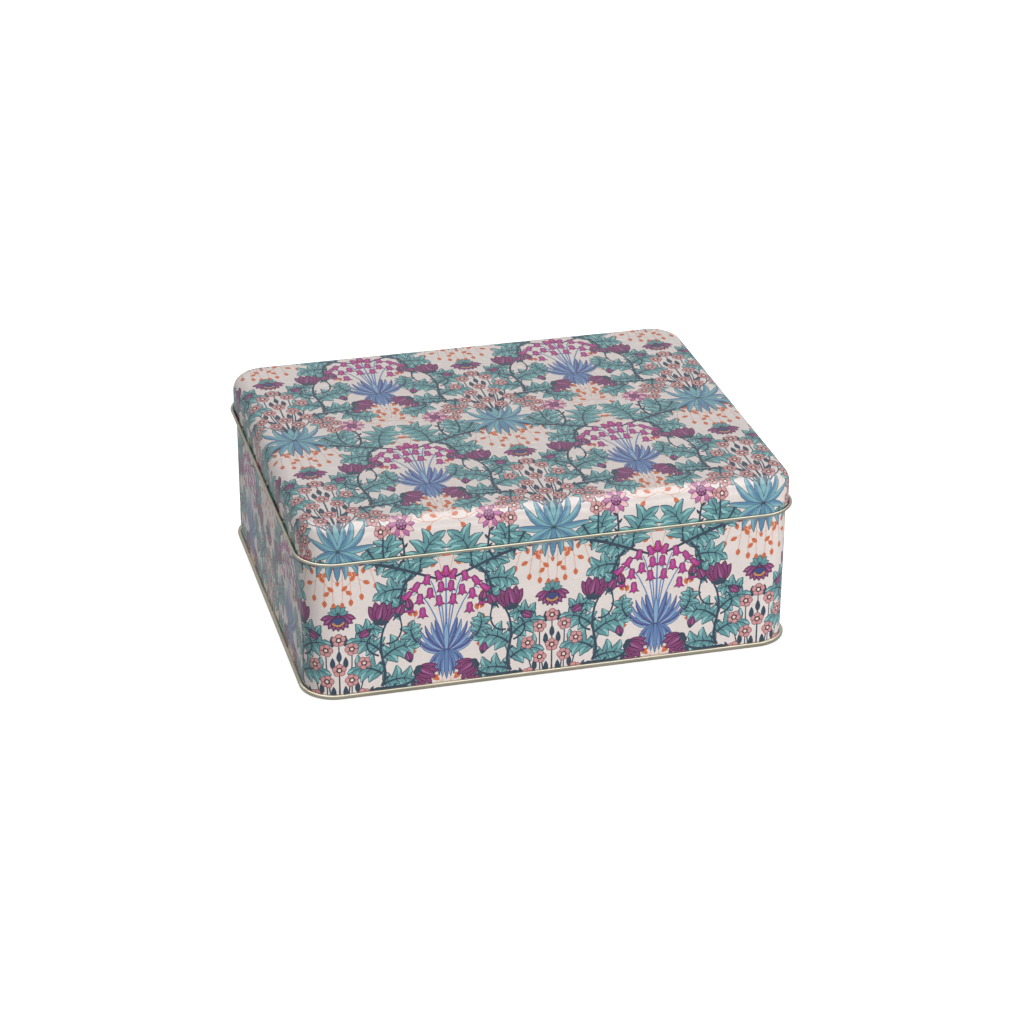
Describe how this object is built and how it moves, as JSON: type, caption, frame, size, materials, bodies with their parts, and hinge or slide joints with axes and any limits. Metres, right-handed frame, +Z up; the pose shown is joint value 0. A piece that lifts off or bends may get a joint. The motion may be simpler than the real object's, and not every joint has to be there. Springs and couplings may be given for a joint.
{
  "type": "storage tin",
  "caption": "Rectangular tinplate storage tin with rounded corners and a lift-off slip lid that rests on a bead round the body.",
  "frame": {"origin": "centre of the footprint, on the table under the foot seam", "axes": "+X along the long side, +Y towards the side with the lock seam, +Z up towards the lid"},
  "size_m": [0.205, 0.169, 0.0753],
  "materials": {
    "lid_shell": "glossy lacquered print outside, bare pale-gold tinplate on the curl and inside",
    "body_wall": "glossy lacquered print outside, bare pale-gold tinplate inside",
    "base_panel": "bare tinplate under a clear pale-gold lacquer, with faint rolling lines"
  },
  "bodies": {
    "tin": {"body_wall": "body_wall", "base_panel": "base_panel"},
    "lid": {"lid_shell": "lid_shell"}
  },
  "joints": [
    {"name": "lid_lift", "type": "slide", "parent": "tin", "child": "lid", "axis": [0, 0, 1], "range_m": [0, 0.05]}
  ]
}
